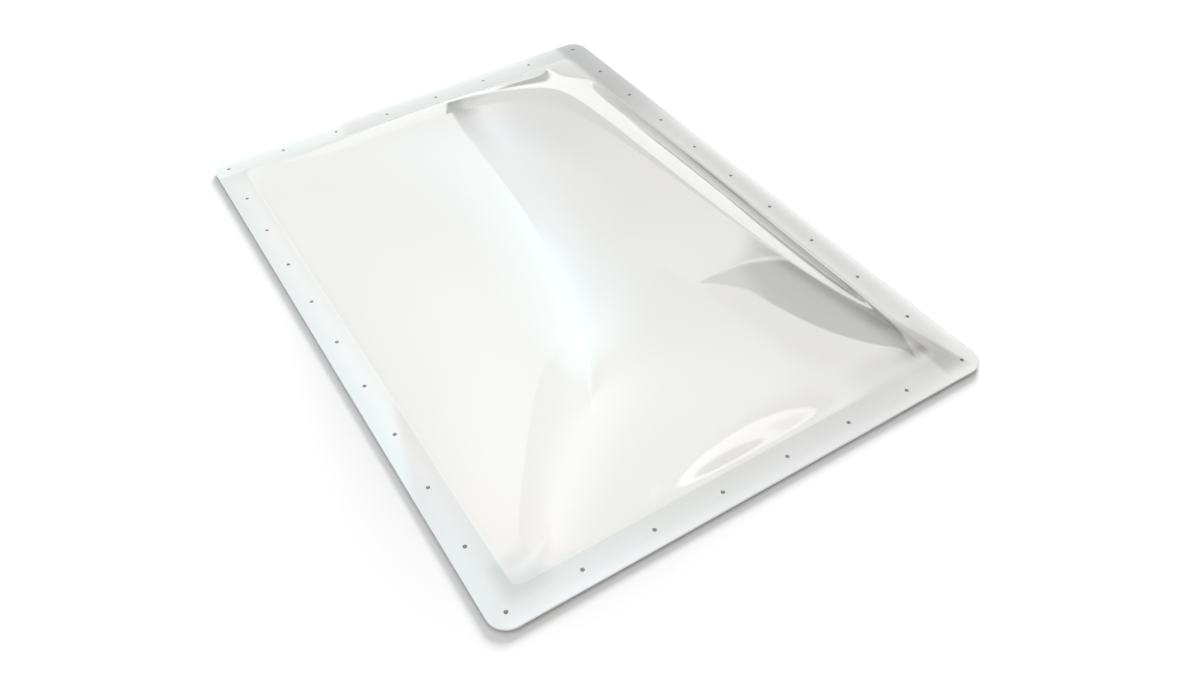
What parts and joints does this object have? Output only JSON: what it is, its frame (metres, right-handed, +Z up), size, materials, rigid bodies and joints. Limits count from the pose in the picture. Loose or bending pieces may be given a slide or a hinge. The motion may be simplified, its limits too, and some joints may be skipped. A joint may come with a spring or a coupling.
{
  "type": "rv skylight",
  "caption": "Shallow blown white plastic dome with a flat drilled flange and a foam seal, screwed over a roof opening.",
  "frame": {"origin": "centre of the seal's underside, the plane that rests on the roof", "axes": "+X along the long side, +Y along the short side, +Z up out of the roof through the dome"},
  "size_m": [0.965, 0.6644, 0.1304],
  "materials": {
    "dome_plastic": "glossy translucent white",
    "seal_foam": "white matt closed-cell foam"
  },
  "bodies": {
    "root": {"dome_panel": "dome_plastic", "seal_front": "seal_foam", "seal_back": "seal_foam", "seal_left": "seal_foam", "seal_right": "seal_foam"}
  },
  "joints": []
}
